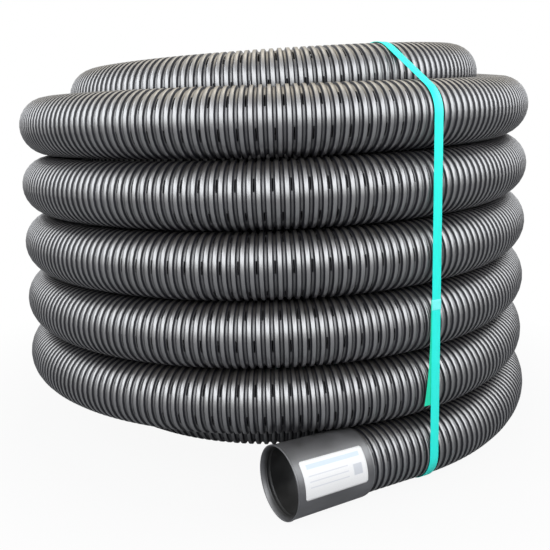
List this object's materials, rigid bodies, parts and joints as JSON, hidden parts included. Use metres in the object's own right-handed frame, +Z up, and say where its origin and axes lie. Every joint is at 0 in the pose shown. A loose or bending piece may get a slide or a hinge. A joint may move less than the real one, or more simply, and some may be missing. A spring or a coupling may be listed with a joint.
{
  "type": "coil of corrugated drainage pipe",
  "caption": "Coil of black corrugated plastic drainage pipe in two layers, with a smooth coupling sleeve and plain sticker on its loose end, held by flat straps.",
  "frame": {"origin": "on the coil's upright axis, at the level of the floor that the coil stands on", "axes": "+Z up along the coil's axis; the loose end and its sleeve lie along -X, at the coil's -Y side"},
  "size_m": [0.9494, 0.9572, 0.6764],
  "materials": {
    "black_plastic": "satin black polyethylene with a soft sheen on the ribs",
    "sleeve_plastic": "smooth satin dark grey-black plastic",
    "sticker_film": "white paper sticker with faint plain marks",
    "strap_plastic": "thin turquoise strapping band"
  },
  "bodies": {
    "root": {"pipe": "black_plastic", "coupling_sleeve": "sleeve_plastic", "label": "sticker_film", "strap_front": "strap_plastic", "strap_back": "strap_plastic"}
  },
  "joints": []
}
